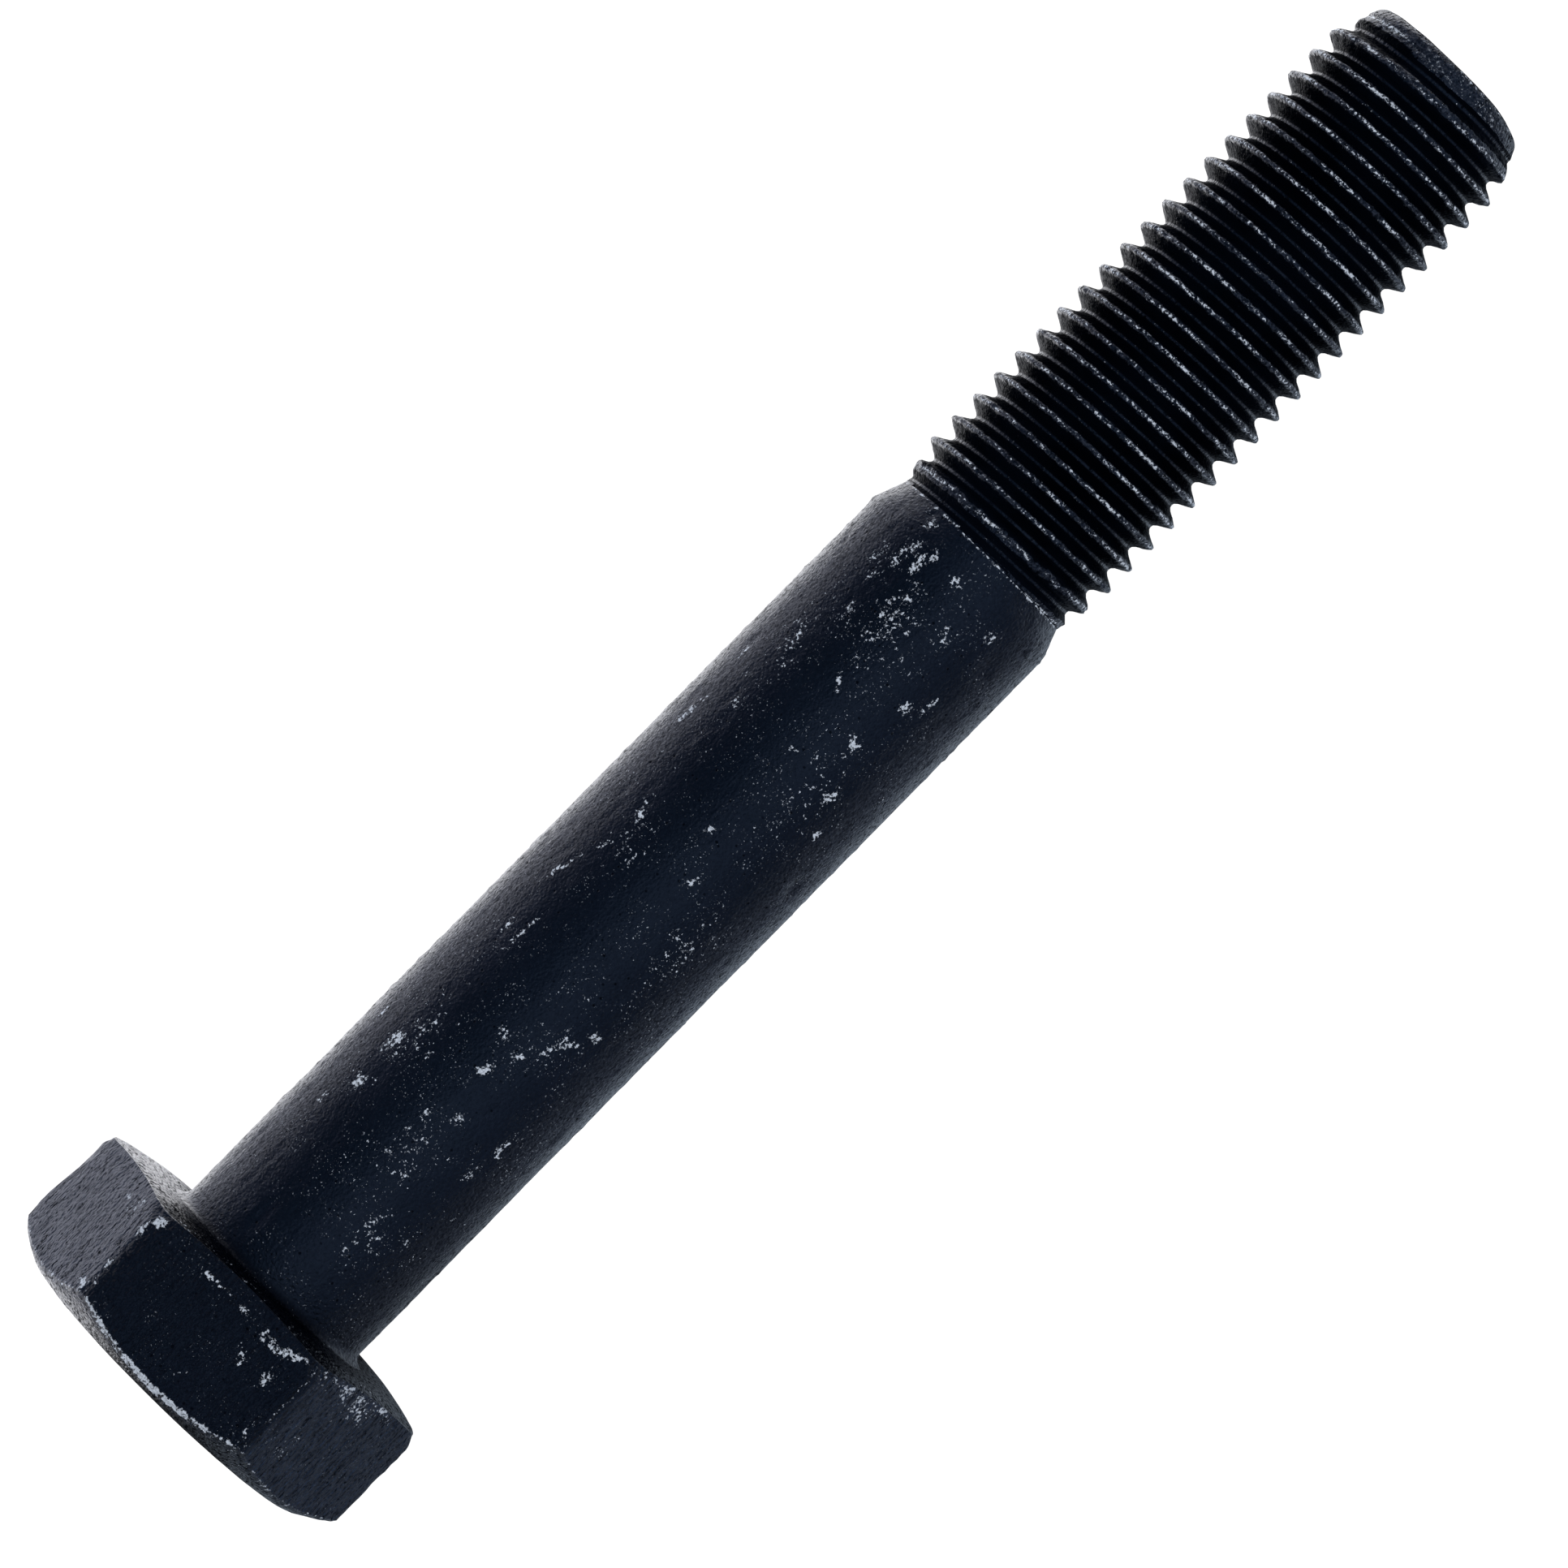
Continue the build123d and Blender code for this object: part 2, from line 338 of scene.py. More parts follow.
SCUFFS = (  # place, length, width, slant in degrees, strength
    # shank, near the head
    (10.5, 21, 0.7, 0.5, 0, .80), (10.9, 42, 0.7, 0.6, 0, .85), (14.5, -46, 0.9, 0.6, 20, .85),
    (14.9, 53, 0.8, 0.5, 0, .75), (17.5, -35, 1.1, 0.8, 0, .85), (18.2, 39, 1.3, 0.5, 15, .85),
    (21.8, -38, 2.0, 0.9, 10, .90), (23.2, -60, 1.3, 0.5, 0, .85), (23.2, -17, 0.8, 0.6, 0, .85),
    (19.5, 1, 0.7, 0.5, 0, .80), (21.2, 15, 0.9, 0.7, 0, .85), (21.8, 43, 1.6, 0.6, 0, .85),
    (25.5, 7, 1.1, 0.6, 25, .95), (28.8, 1, 0.8, 0.6, 0, .90),
    # one long scratch that ends in a loop
    (28.3, 15, 1.1, 0.25, 35, 1.0), (30.0, 22, 1.2, 0.25, 38, 1.0), (31.8, 29, 1.3, 0.25, 38, 1.0),
    (33.6, 35, 0.7, 0.45, 70, 1.0),
    # middle of the shank
    (35.2, -38, 1.0, 0.5, 0, .85), (36.0, -28, 2.6, 0.3, 5, .90), (42.4, -38, 2.2, 0.28, 18, .95),
    (41.2, -41, 1.4, 0.3, -10, .85), (45.5, -30, 1.2, 0.35, 30, .72),
    (49.3, -28, 0.9, 0.42, -30, 1.0),
    (50.6, -31, 0.7, 0.5, -40, .88), (52.5, 3, 0.8, 0.5, 25, .80), (48.6, 15, 1.5, 0.5, 10, .76),
    (58.4, -53, 2.4, 0.5, 10, .95), (61.4, -33, 1.1, 0.5, -40, .85), (61.1, 34, 1.2, 0.8, 5, .95),
    (58.1, 45, 1.0, 0.5, 0, .85), (62.0, 5, 0.6, 0.4, 60, .90), (65.8, 24, 0.7, 1.1, 10, 1.0),
    (68.5, -3, 2.0, 0.3, -40, .90), (70.8, 30, 0.9, 0.7, 0, .95), (72.1, 39, 1.8, 0.4, 0, .90),
    (65.0, -57, 1.8, 0.4, 0, .85), (73.5, -24, 1.9, 0.5, -30, .80),
    # cluster before the shoulder
    (78.6, -36, 1.5, 1.3, 20, .68), (80.6, -24, 1.4, 1.3, 0, .73), (79.6, -15, 2.2, 0.5, -18, .90),
    (81.2, -12, 1.2, 0.5, -25, .88), (78.0, -8, 1.4, 1.0, 0, .69), (81.0, 3, 0.5, 1.0, 15, .85),
    (75.5, -12, 1.6, 0.5, -10, .80), (83.0, -28, 0.9, 0.9, 0, .70), (79.0, -26, 0.6, 0.9, 60, .90),
    (76.6, -30, 0.9, 0.3, -10, .90), (79.8, 36, 1.6, 0.8, 0, .66), (77.0, 20, 2.6, 1.8, 0, .56),
    # faint wide patches
    (16.0, 8, 5.0, 3.5, 0, .50), (24.0, -30, 6.0, 2.6, 0, .52), (31.0, 22, 6.0, 2.4, 20, .50),
    (44.0, 36, 7.0, 2.6, 0, .52), (47.0, -20, 6.0, 2.2, 0, .42), (60.0, 24, 7.0, 3.2, 0, .46),
    (69.0, -36, 5.0, 2.2, 0, .54), (74.0, -4, 6.0, 3.6, 0, .52), (8.5, 24, 3.6, 2.8, 0, .54),
    # flat of the head that faces straight up
    (-1.9, -9, 0.35, 1.8, 0, .95), (-1.9, 3, 0.45, 1.6, 0, .90), (-2.1, 16, 0.6, 1.4, 8, 1.0),
    (-1.6, 23, 0.45, 1.6, -14, 1.0), (-0.7, 2, 0.3, 0.6, 0, .90), (-4.6, 14, 0.9, 1.0, 0, .85),
    (-4.4, 22, 0.9, 0.7, 0, .82), (-9.2, 4, 0.6, 0.9, 0, .75), (-9.0, 28, 1.2, 0.4, -15, .90),
    (-1.6, -29, 0.8, 0.9, 0, .95), (-7.0, -31, 1.5, 0.4, 0, .85), (-3.0, -31, 0.9, 0.5, 0, .95),
    # flats beside it
    (-1.2, 36, 0.9, 1.6, 0, .72), (-1.0, 47, 1.1, 2.4, 0, .80), (-1.6, 57, 1.5, 3.0, 0, .72),
    (-0.6, 66, 0.9, 3.0, 0, .78), (-7.6, 43, 2.0, 1.2, 0, .66), (-5.0, 62, 5.0, 0.2, 0, .74),
    (-2.6, -40, 1.5, 1.2, 0, .72), (-2.4, -48, 0.9, 1.6, 0, .70),
    (-9.6, -33, 0.8, 1.2, 0, .85),
    # the side that faces down
    (12.0, 150, 2.0, 0.7, 15, .90), (25.0, -160, 1.6, 0.6, 0, .90), (38.0, 172, 2.4, 0.4, -20, .95),
    (47.0, 130, 1.4, 0.8, 10, .85), (55.0, -125, 1.8, 0.5, 25, .90), (68.0, 165, 2.0, 0.9, 0, .95),
    (76.0, -150, 2.2, 0.8, 10, .90), (-1.4, 130, 0.8, 2.4, 0, .95), (-1.6, -100, 0.9, 2.0, 0, .90),
    (-8.0, 175, 1.5, 1.2, 10, .85),
)


def spread(place, x, r, angle):
    """0 to 1: how near each vertex is to the middle of a mark."""
    at, turn, length, width, slant = place
    gap = (angle - radians(turn) + pi) % (2 * pi) - pi
    along, across = x - at, r * gap
    c, s = cos(radians(slant)), sin(radians(slant))
    return np.exp(-((along * c + across * s) / length) ** 2
                  - ((across * c - along * s) / width) ** 2)


def from_flat(angle):
    """Angle from the middle of the nearest flat."""
    return (angle + pi / 6) % (pi / 3) - pi / 6


def from_corner(r, angle):
    """Distance in mm from the nearest upright edge of the head."""
    return HALF_FLATS * tan(radians(30)) - np.abs(r * np.sin(from_flat(angle)))


def hexagon_reach(angle):
    """Radius of the head's outline, with the corners cut a little short."""
    return HALF_FLATS / np.cos(np.clip(np.abs(from_flat(angle)), 0, radians(28.5)))


def shape_wear(part, angle, x, r, crest):
    """Moves the vertices: waves, dents, worn corners, nicked crests, an end out of square."""
    points = np.column_stack([x, -r * np.sin(angle), r * np.cos(angle)])
    toward_y = -np.sin(angle)
    side = part == SIDE
    head = (part == CHAMFER) | side
    smooth_parts = (part == SHANK) | head
    grit = noise_at(points, 0.5, 51.0)

    # forged surface, gently uneven
    long_waves = noise_at(points, 7.0, 3.1)
    short_waves = noise_at(points, 1.3, 8.2, 2)
    head_waves = 0.03 * long_waves + 0.02 * short_waves
    waves = 0.05 * long_waves + 0.024 * short_waves + head * head_waves + 0.016 * grit
    past_head = x + 40 * (part != SHANK)         # keeps the shank's fillet clean, and nothing else
    r = r + smooth_parts * waves * smooth(0.0, 2.0, past_head)
    hollows = np.maximum(noise_at(points, 0.8, 61.0) - 0.32, 0)
    bumps = np.maximum(noise_at(points, 0.9, 67.0) - 0.34, 0)
    r = r - smooth_parts * (0.30 * hollows - 0.24 * bumps) * smooth(1.5, 3.0, past_head)
    for at, turn, length, width, depth in DENTS:
        r = r - smooth_parts * depth * spread((at, turn, length, width, 0), x, r, angle)

    # head: corners rubbed down, with a low place on the +Y one, and more beside the bearing face
    corner = np.exp(-(np.maximum(from_corner(r, angle), 0) / 1.6) ** 2)
    waist = np.exp(-((x + 3.2) / 2.4) ** 2) * smooth(0.9, 1.0, toward_y)
    r = r - head * corner * (0.16 + 0.1 * noise_at(points, 3.0, 5.5) + 0.36 * waist)
    r = r - side * 0.16 * smooth(-2.0, -0.2, x) * (1 - corner)
    near_corner = np.maximum(from_corner(hexagon_reach(angle), angle), 0)
    rubbed = 0.55 * np.exp(-(near_corner / 1.3) ** 2)
    r = r - head * rubbed * np.exp(-((x + 0.6) / 0.8) ** 2)
    bearing = (part == BEARING) * smooth(BEARING_RADIUS, BEARING_RADIUS + 2.5, r)
    r = r - bearing * (rubbed + 0.2 + 0.04 * grit)
    x = x + (part == BEARING) * 0.02 * grit
    chamfer_bulge = np.where(part == CHAMFER, 0.22, 0) * smooth(TOP_RADIUS, TOP_RADIUS + 0.8, r)
    x = x - chamfer_bulge + (part == CHAMFER) * 0.05 * noise_at(points, 2.0, 9.4)
    x = x + (part == TOP) * 0.03 * noise_at(points, 6.0, 2.7)

    # thread: crests nicked and wavering, flanks a little torn
    on_thread = part == THREAD
    near_crest = on_thread * smooth(0.6, 0.2, crest)
    along_crest = np.column_stack([x * 0.15, points[:, 1] * 0.9, points[:, 2] * 0.9])
    nicks = np.maximum(noise_at(points, 1.0, 12.0, 2) - 0.22, 0)
    r = r - near_crest * (0.42 * nicks + 0.035 * (1 + noise_at(points, 2.6, 15.0)))
    crest_grit = 0.08 * near_crest * noise_at(points, 0.5, 18.0)
    r = r + on_thread * (0.02 * short_waves + 0.02 * grit + crest_grit)
    waver = noise_at(along_crest + points * 0.4, 1.3, 20.0, 2)
    x = x + on_thread * 0.09 * waver * smooth(1.2, 0.3, crest)

    # the first crest, half formed, is ragged
    first = on_thread * np.exp(-((x - 87.0) / 1.2) ** 2) * smooth(0.7, 0.2, crest)
    x = x + first * 0.22 * noise_at(points, 1.8, 31.0)
    r = r - first * 0.12 * np.maximum(noise_at(points, 1.4, 33.0), 0)

    # the point: end face out of square, land turned
    end = smooth(THREAD_END - 1.5, LENGTH - 0.6, x)
    drop = smooth(4.5, 8.5, -toward_y * r)
    x = x + end * (0.34 - 0.42 * drop) + (part == POINT) * 0.04 * noise_at(points, 2.2, 41.0)
    land = 0.05 * noise_at(points, 2.4, 43.0) + 0.03 * grit + 0.08 * smooth(0.2, 0.9, toward_y)
    r = r + (part == POINT) * smooth(4, 8, r) * land
    return x, r


def wear_and_shade_fields(part, angle, x, r):
    """Per vertex: bright scuffs, wear of edges, share of the sheen left under painted shade,
    coarseness, flats.
    """
    scuff = np.zeros(len(x))
    for at, turn, length, width, slant, strength in SCUFFS:
        scuff = np.maximum(scuff, strength * spread((at, turn, length, width, slant), x, r, angle))
    scuff *= (part == SHANK) | (part == SIDE)

    top = HEAD_TOP + (hexagon_reach(angle) - TOP_RADIUS) * TOP_SLOPE
    corner = np.maximum(from_corner(r, angle), 0)
    up, toward_y = np.cos(angle), -np.sin(angle)
    upward = smooth(0.80, 0.95, up)
    side, chamfer, bearing = part == SIDE, part == CHAMFER, part == BEARING
    edge = np.maximum.reduce([
        side * np.exp(-((x - top) / 0.26) ** 2) * (0.60 + 0.34 * upward),
        chamfer * np.exp(-((x - top) / 0.18) ** 2) * (0.52 + 0.36 * upward),
        (side | chamfer) * 0.55 * np.exp(-(corner / 0.45) ** 2),
        side * 0.5 * np.exp(-(x / 0.5) ** 2),
        bearing * 0.62 * np.exp(-((r - BEARING_RADIUS) / 0.12) ** 2),
        bearing * 0.36 * smooth(BEARING_RADIUS, BEARING_RADIUS + 0.6, r),
        (part == SHANK) * 0.74 * np.exp(-((x - SHOULDER_END) / 0.16) ** 2),
        (part == POINT) * 0.6 * np.exp(-((r - 7.7) / 0.35) ** 2),
        (part == POINT) * 0.26 * smooth(7.0, 7.8, r),
    ])

    # painted shade: the bearing face and the shank's fillet under the head are darkened, more on
    # the side away from the light
    under_head = (part == SHANK) & (x < FILLET + 0.3)
    away_from_light = 0.30 * smooth(0.1, -0.3, toward_y) * smooth(0.90, 0.72, up)
    shade = np.ones(len(x))
    shade -= bearing * (0.80 * smooth(0.72, 0.90, up) + away_from_light)
    shade -= under_head * 0.75 * smooth(0.50, 0.85, up) * smooth(FILLET + 0.3, 0.3, x)
    coarse = 0.5 * (side | chamfer) + 1.0 * bearing
    coarse += 0.7 * ((part == POINT) | ((part == THREAD) & (x > POINT_START + 1.0)))
    return {"scuff": scuff, "edge": edge, "shade": shade, "coarse": coarse, "sides": side * 1.0}


# ------------------------------------------------------------------ materials

BLACK_DEEP = (0.0003, 0.0007, 0.0018, 1)
BLACK_PALE = (0.0010, 0.0020, 0.0042, 1)
WORN = (0.030, 0.034, 0.044, 1)              # crests and rubbed edges
BARE = (0.62, 0.66, 0.70, 1)                 # bright scuffs
RELIEF = 0.00008                             # metres, depth of the bump


def graph(tree):
    """Short ways to add a node, a math node, a smooth ramp from 0 to 1, and a colour mix."""
    def put(kind, inputs=None, **settings):
        node = tree.nodes.new(kind)
        for name, value in settings.items():
            setattr(node, name, value)
        for name, value in (inputs or {}).items():
            if isinstance(value, bpy.types.NodeSocket):
                tree.links.new(value, node.inputs[name])
            else:
                node.inputs[name].default_value = value
        return node

    def calc(operation, *values):
        return put("ShaderNodeMath", dict(enumerate(values)), operation=operation).outputs[0]

    def ramp(value, start, end):
        node = put("ShaderNodeMapRange", {"Value": value, "From Min": start, "From Max": end},
                   interpolation_type="SMOOTHSTEP")
        return node.outputs["Result"]

    def blend(amount, a, b):
        node = put("ShaderNodeMix", data_type="RGBA")
        for socket, value in ((node.inputs[0], amount), (node.inputs[6], a), (node.inputs[7], b)):
            if isinstance(value, bpy.types.NodeSocket):
                tree.links.new(value, socket)
            else:
                socket.default_value = value
        return node.outputs[2]

    return put, calc, ramp, blend


def blackened_steel():
    """Black oxide on forged steel: nearly no colour, a broad sheen, grain, pits, bright scuffs, and
    painted shade under the head and in the thread's grooves.
    """
    material = bpy.data.materials.new("blackened_steel")
    material.use_nodes = True
    tree = material.node_tree
    tree.nodes.clear()
    put, calc, ramp, blend = graph(tree)

    def noise_node(vector, scale, detail=2.0, roughness=0.5):
        return put("ShaderNodeTexNoise", {"Vector": vector, "Scale": scale, "Detail": detail,
                                          "Roughness": roughness}).outputs[0]

    def field(name):
        return put("ShaderNodeAttribute", attribute_name=name).outputs["Fac"]

    def add(a, b):
        return calc("ADD", a, b)

    def times(a, b):
        return calc("MULTIPLY", a, b)

    def rest(value):
        return calc("SUBTRACT", 1.0, value)

    def stretched(vector, *factors):
        return put("ShaderNodeVectorMath", {0: vector, 1: factors}, operation="MULTIPLY").outputs[0]

    coordinates = put("ShaderNodeTexCoord").outputs["Object"]
    scaled = put("ShaderNodeVectorMath", {0: coordinates, "Scale": 1 / MM}, operation="SCALE")
    mm = scaled.outputs[0]
    lengthwise = stretched(mm, 0.09, 1.0, 1.0)
    combwise = stretched(mm, 0.22, 1.0, 1.0)
    roundwise = stretched(mm, 1.6, 0.35, 0.35)

    scuff, edge, crest, sides = field("scuff"), field("edge"), field("crest"), field("sides")
    shade, coarse = field("shade"), field("coarse")
    facing = put("ShaderNodeLayerWeight", {"Blend": 0.5}).outputs["Facing"]
    grain = noise_node(mm, 3.2, 4.0, 0.62)
    lumps = noise_node(mm, 3.4, 1.5, 0.5)
    combs = noise_node(combwise, 3.2, 3.0, 0.65)
    gritty = add(times(noise_node(mm, 2.6, 2.0, 0.65), rest(sides)), times(combs, sides))
    humps = noise_node(mm, 1.6, 1.0, 0.5)
    crumbs = noise_node(mm, 3.6, 4.0, 0.62)
    patches = noise_node(mm, 1.1, 2.0, 0.5)
    fine = noise_node(mm, 5.5, 3.0, 0.6)
    blotch = noise_node(mm, 0.10, 3.0, 0.55)
    streak = noise_node(lengthwise, 2.8, 1.0, 0.5)
    along_crest = noise_node(roundwise, 0.8, 2.0, 0.62)
    speck = add(times(crumbs, 0.66), times(patches, 0.34))

    # the thread by distance from a crest, with a frayed border
    fray = add(times(crumbs, 0.34), times(gritty, 0.36))
    ragged = add(crest, calc("SUBTRACT", fray, 0.35))
    on_crest = rest(ramp(ragged, 0.17, 0.27))
    crest_line = rest(ramp(ragged, 0.10, 0.20))
    flank = times(ramp(ragged, 0.21, 0.32), rest(ramp(crest, 1.06, 1.22)))

    # bright marks: where the scuff field and the fine noise add up, plus rare specks everywhere
    mark = ramp(add(speck, times(scuff, 0.285)), 0.70, 0.76)
    rare = times(ramp(fine, 0.64, 0.70), ramp(noise_node(mm, 0.32, 2.0, 0.6), 0.42, 0.66))
    rare = times(rare, rest(calc("MAXIMUM", flank, times(sides, 0.5))))
    rim = ramp(add(speck, times(edge, 0.32)), 0.71, 0.79)
    broken_line = ramp(add(times(along_crest, 0.8), times(crumbs, 1.5)), 1.20, 1.30)
    crest_mark = times(crest_line, broken_line)
    bright = calc("MAXIMUM", calc("MAXIMUM", mark, rim),
                  calc("MAXIMUM", times(rare, 0.52), crest_mark))
    bright = times(bright, calc("SUBTRACT", times(fine, 2.6), 0.35))
    bright = calc("MAXIMUM", calc("MINIMUM", bright, 1.0), 0.0)

    black = blend(ramp(blotch, 0.35, 0.65), BLACK_DEEP, BLACK_PALE)
    rubbed = times(ramp(edge, 0.30, 0.90), 0.60)
    worn = times(calc("MAXIMUM", on_crest, rubbed), ramp(crumbs, 0.38, 0.66))
    worn = blend(worn, black, WORN)
    colour = blend(bright, worn, BARE)

    # sheen: broken up by grain, uneven at a grazing look, weak on the thread's flanks under painted
    # shade in the grooves
    roughness = add(0.26, times(grain, 0.10))
    edge_on = ramp(facing, 0.86, 1.0)
    # painted shade in the thread's grooves, lifted where a flank is seen edge-on
    groove_shade = times(flank, calc("SUBTRACT", 0.95, times(edge_on, 0.85)))
    unevenness = times(ramp(facing, 0.1, 0.6), add(0.50, times(coarse, 0.60)))
    unevenness = add(0.10, unevenness)
    share = times(sides, 0.6)
    grained = add(times(ramp(grain, 0.36, 0.62), rest(share)),
                  times(ramp(combs, 0.38, 0.60), share))
    sheen = add(0.43, times(calc("SUBTRACT", grained, 0.5), unevenness))
    flats = calc("SUBTRACT", times(ramp(facing, 0.1, 0.5), 1.45), 0.28)
    sheen = times(sheen, add(1.0, times(sides, flats)))
    sheen = times(sheen, rest(groove_shade))

    # relief: lumps and pits, and on the head's flats the streaks of the forging
    pits = put("ShaderNodeTexVoronoi", {"Vector": mm, "Scale": 1.15, "Randomness": 1.0})
    chance = put("ShaderNodeSeparateXYZ", {0: pits.outputs["Color"]}).outputs[0]
    pit = times(ramp(chance, 0.30, 0.80), rest(ramp(pits.outputs["Distance"], 0.06, 0.20)))
    height = add(lumps, times(noise_node(mm, 5.0, 0.0), 0.25))
    height = calc("SUBTRACT", height, times(pit, 0.45))
    combed = add(times(streak, 0.80), times(humps, 1.4))
    height = add(height, times(combed, sides))
    height = add(height, times(mark, 0.10))
    depth = add(RELIEF, add(times(sides, 2 * RELIEF), times(coarse, RELIEF / 2)))
    bump = put("ShaderNodeBump", {"Height": height, "Strength": 1.0, "Distance": depth})

    steel = put("ShaderNodeBsdfPrincipled", {
        "Base Color": colour, "Roughness": roughness, "IOR": 1.5,
        "Specular IOR Level": sheen, "Normal": bump.outputs[0]})

    # dull black in the pits, as painted shade under the head and in the thread's grooves, and as
    # grit that shows most at a grazing look
    grazing = add(times(ramp(facing, 0.45, 0.90), 0.75),
                  times(coarse, times(ramp(facing, 0.1, 0.6), 0.20)))
    kept = times(shade, rest(times(pit, 0.85)))
    kept = times(kept, rest(times(grazing, ramp(gritty, 0.52, 0.60))))
    threaded = rest(ramp(crest, 1.3, 1.6))
    chips = ramp(noise_node(mm, 3.0, 3.0, 0.7), 0.50, 0.60)
    chipped = times(times(threaded, chips), 0.70)
    chipped = times(chipped, rest(times(coarse, 1.2)))
    # chips, and painted shade on the thread's flanks
    kept = times(kept, rest(calc("MAXIMUM", chipped, times(flank, 0.45))))
    grit_and_painted_shade = times(rest(kept), rest(bright))
    dull = put("ShaderNodeBsdfDiffuse", {"Color": black})
    surface = put("ShaderNodeMixShader", {0: grit_and_painted_shade, 1: steel.outputs[0], 2: dull.outputs[0]})
    output = put("ShaderNodeOutputMaterial")
    tree.links.new(surface.outputs[0], output.inputs["Surface"])
    return material


# ------------------------------------------------------------------ the bolt

LEAN = 0.13                                  # mm, how far the threaded end leans towards +Y

part, angle, x, r, crest, faces = build_bolt()
fields = wear_and_shade_fields(part, angle, x, r)
x, r = shape_wear(part, angle, x, r, crest)
points = np.column_stack([x, -r * np.sin(angle), r * np.cos(angle)])
points[:, 1] += LEAN * smooth(SHOULDER_END, LENGTH, x)
mesh = bpy.data.meshes.new("hex_bolt_body")
mesh.from_pydata((points * MM).tolist(), [], faces)
mesh.validate(verbose=True)
mesh.shade_smooth()
for name, values in {**fields, "crest": crest}.items():
    layer = mesh.attributes.new(name, "FLOAT", "POINT")
    layer.data.foreach_set("value", np.asarray(values, np.float32))
mesh.materials.append(blackened_steel())
bolt = bpy.data.objects.new("hex_bolt_body", mesh)
bpy.context.scene.collection.objects.link(bolt)
triangles = sum(len(p.vertices) - 2 for p in mesh.polygons)
print("bolt mesh", len(mesh.vertices), "vertices", triangles, "triangles")
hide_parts(NODE)
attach(bolt, "root")

# ------------------------------------------------------------------ floor and light

FLOOR_SIZE = 3.0                             # metres
TOUCH_HEAD = (-0.35, -HALF_FLATS)            # (x, z) where the head's lower flat rests
TOUCH_TIP = (POINT_START, -CREST_RADIUS)     # and the last full crest

# Light that the bolt sees, by angle from straight above, positive towards +Y: a dim bluish
# ceiling, a faint strip a little towards -Y, and a bright window side at +Y.
SKY = (
    (-100, (0.14, 0.185, 0.30)),
    (-65, (0.10, 0.165, 0.33)),
    (-22, (0.24, 0.37, 0.66)),
    (24, (0.05, 0.11, 0.24)),
    (48, (0.05, 0.10, 0.22)),
    (66, (0.13, 0.18, 0.34)),
    (80, (0.20, 0.26, 0.46)),
    (100, (0.28, 0.34, 0.54)),
)
FLOOR_DIM = (0.255, 0.31, 0.44)              # what the bolt sees of the floor on the -Y side
FLOOR_LIT = (0.87, 0.91, 1.11)               # and on the +Y side
NEAR_DIM = (0.56, 0.66, 0.80)                # the same close by the bolt, where it is brighter
NEAR_LIT = (2.30, 2.32, 2.44)
SIDES_MEET = (-0.014, 0.016)                 # metres across: from the dim side to the lit side
NEAR_END = (0.018, 0.030)                    # metres from the axis: near floor to far floor
UNDER = (0.008, 0.014)                       # metres from the axis: dark to full light
UNDER_LIGHT = 0.08                           # share of the light left under the bolt
HEAD_SHADE = 0.45                            # how much darker on the -Y side beside the head
HEAD_SHADE_END = (0.005, 0.03)               # metres along: where that shade fades out
SOFT_WHITE = (0.80, 0.84, 0.92)              # what lights the bare scuffs, which scatter light
FLOOR_GLOW = 0.95                            # of the floor that the camera sees
FLOOR_PAPER = (0.30, 0.28, 0.26, 1)          # and the part of it that takes shadows


def add_floor():
    size = FLOOR_SIZE
    data = bpy.data.meshes.new("floor")
    corners = [(-size, -size, 0), (size, -size, 0), (size, size, 0), (-size, size, 0)]
    data.from_pydata(corners, [], [(0, 1, 2, 3)])
    floor = bpy.data.objects.new("floor", data)
    tilt = atan2(TOUCH_TIP[1] - TOUCH_HEAD[1], TOUCH_TIP[0] - TOUCH_HEAD[0])
    floor.rotation_euler = (0, -tilt, 0)
    floor.location = (TOUCH_HEAD[0] * MM, 0, TOUCH_HEAD[1] * MM)
    bpy.context.scene.collection.objects.link(floor)

    material = bpy.data.materials.new("pale_floor")
    material.use_nodes = True
    tree = material.node_tree
    tree.nodes.clear()
    put, calc, ramp, blend = graph(tree)
    position = put("ShaderNodeNewGeometry").outputs["Position"]
    parts = put("ShaderNodeSeparateXYZ", {0: position})
    across = parts.outputs["Y"]
    distance = calc("ABSOLUTE", across)
    lit_side = ramp(across, *SIDES_MEET)
    near = calc("SUBTRACT", 1.0, ramp(distance, *NEAR_END))
    mirrored = blend(near, blend(lit_side, (*FLOOR_DIM, 1), (*FLOOR_LIT, 1)),
                     blend(lit_side, (*NEAR_DIM, 1), (*NEAR_LIT, 1)))
    scattered = put("ShaderNodeLightPath").outputs["Is Diffuse Ray"]
    seen_by_bolt = blend(scattered, mirrored, (*SOFT_WHITE, 1))
    by_head = calc("SUBTRACT", 1.0, ramp(parts.outputs["X"], *HEAD_SHADE_END))
    shade = calc("MULTIPLY", calc("SUBTRACT", 1.0, lit_side), by_head)
    strength = calc("SUBTRACT", 1.0, calc("MULTIPLY", shade, HEAD_SHADE))
    clear = calc("MULTIPLY", ramp(distance, *UNDER), 1 - UNDER_LIGHT)
    strength = calc("MULTIPLY", strength, calc("ADD", UNDER_LIGHT, clear))
    reflected = put("ShaderNodeEmission", {"Color": seen_by_bolt, "Strength": strength})
    glow = put("ShaderNodeEmission", {"Color": (1, 1, 1, 1), "Strength": FLOOR_GLOW})
    paper = put("ShaderNodeBsdfDiffuse", {"Color": FLOOR_PAPER})
    pale = put("ShaderNodeAddShader", {0: glow.outputs[0], 1: paper.outputs[0]})
    camera_ray = put("ShaderNodeLightPath").outputs["Is Camera Ray"]
    mix = put("ShaderNodeMixShader", {0: camera_ray, 1: reflected.outputs[0], 2: pale.outputs[0]})
    output = put("ShaderNodeOutputMaterial")
    tree.links.new(mix.outputs[0], output.inputs["Surface"])
    data.materials.append(material)


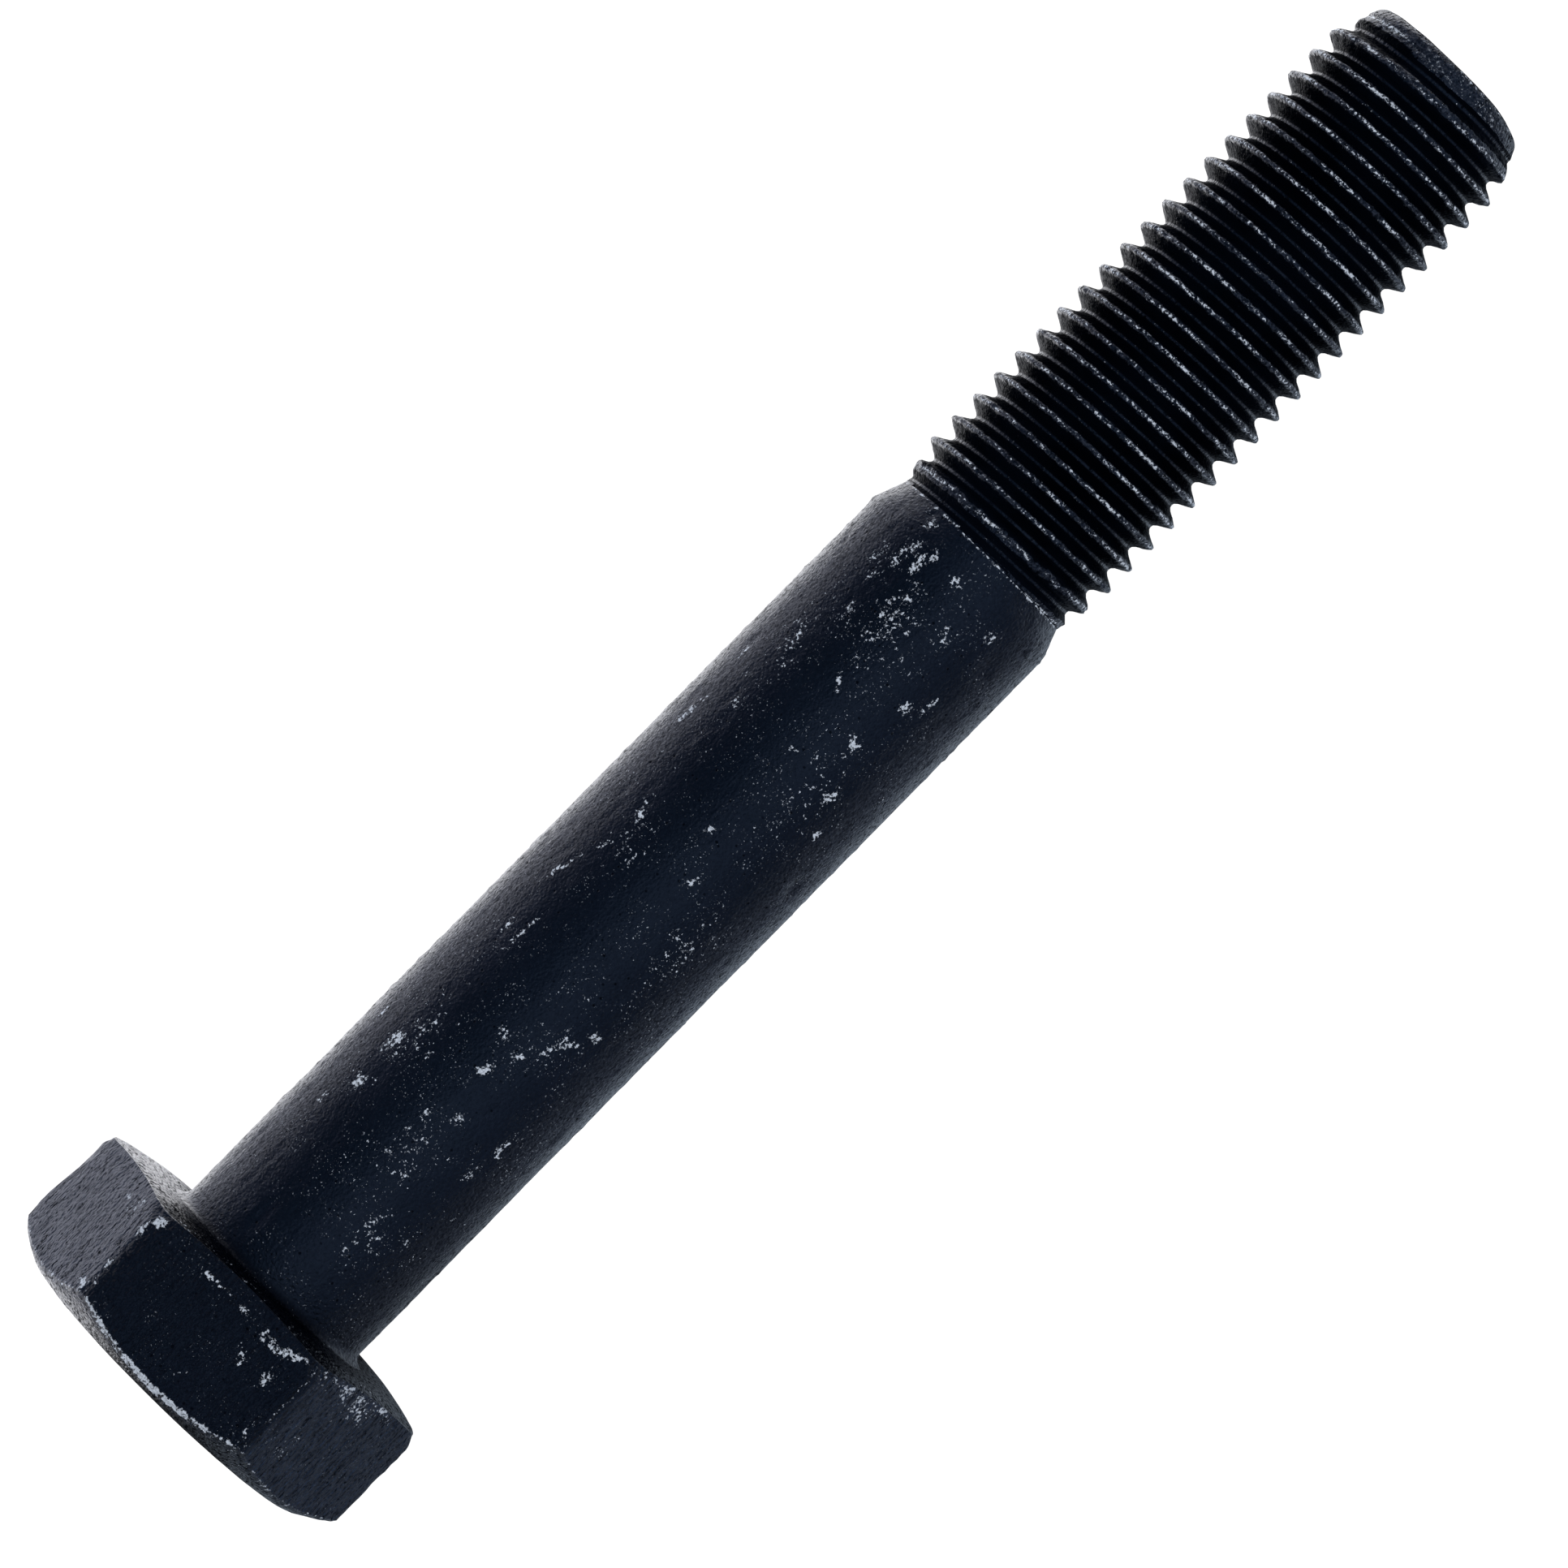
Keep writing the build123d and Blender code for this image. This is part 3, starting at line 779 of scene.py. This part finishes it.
def add_world():
    world = bpy.data.worlds.new("studio")
    bpy.context.scene.world = world
    world.use_nodes = True
    tree = world.node_tree
    tree.nodes.clear()
    put, calc, ramp, blend = graph(tree)
    parts = put("ShaderNodeSeparateXYZ", {0: put("ShaderNodeTexCoord").outputs["Generated"]})
    turn = calc("ARCTAN2", parts.outputs["Y"], parts.outputs["Z"])
    place = calc("ADD", calc("DIVIDE", turn, 2 * pi), 0.5)
    node = put("ShaderNodeValToRGB", {"Fac": place})
    stops = node.color_ramp.elements
    for n, (angle, colour) in enumerate(SKY):
        stop = stops[n] if n < 2 else stops.new(angle / 360 + 0.5)
        stop.position = angle / 360 + 0.5
        stop.color = (*colour, 1)
    scattered = put("ShaderNodeLightPath").outputs["Is Diffuse Ray"]
    colour = blend(scattered, node.outputs[0], (*SOFT_WHITE, 1))
    seen_by_bolt = put("ShaderNodeBackground", {"Color": colour, "Strength": 1.0})
    white = put("ShaderNodeBackground", {"Color": (1, 1, 1, 1), "Strength": 1.0})
    camera_ray = put("ShaderNodeLightPath").outputs["Is Camera Ray"]
    mix = put("ShaderNodeMixShader",
              {0: camera_ray, 1: seen_by_bolt.outputs[0], 2: white.outputs[0]})
    output = put("ShaderNodeOutputWorld")
    tree.links.new(mix.outputs[0], output.inputs["Surface"])


add_floor()
add_world()

# ------------------------------------------------------------------ camera

CAMERA_DISTANCE = 720.0                      # from the bolt's axis
PIXELS_PER_MM = 14.83                        # at the axis, in a picture of PICTURE pixels
PICTURE = 1932
AIM = Vector((59.4, -1.65, 0.0))             # where the line of sight meets the bolt
AXIS_RISE = 45.445                           # degrees, the bolt's axis above the horizontal
ROLL_OFF = 3.3                               # degrees from straight above, towards -Y
SENSOR = 36.0


def add_camera():
    data = bpy.data.cameras.new("camera")
    data.sensor_width = SENSOR
    data.lens = SENSOR * PIXELS_PER_MM * CAMERA_DISTANCE / PICTURE
    data.clip_start, data.clip_end = 0.01, 20
    camera = bpy.data.objects.new("camera", data)
    back = Vector((0, -sin(radians(ROLL_OFF)), cos(radians(ROLL_OFF))))
    along = Vector((1, 0, 0))
    side = back.cross(along)
    a = radians(AXIS_RISE)
    right = along * cos(a) - side * sin(a)
    up = along * sin(a) + side * cos(a)
    turn = Matrix((right, up, back)).transposed().to_4x4()
    camera.matrix_world = Matrix.Translation((AIM + back * CAMERA_DISTANCE) * MM) @ turn
    bpy.context.scene.collection.objects.link(camera)
    bpy.context.scene.camera = camera


add_camera()

bpy.context.scene.view_settings.view_transform = "Standard"
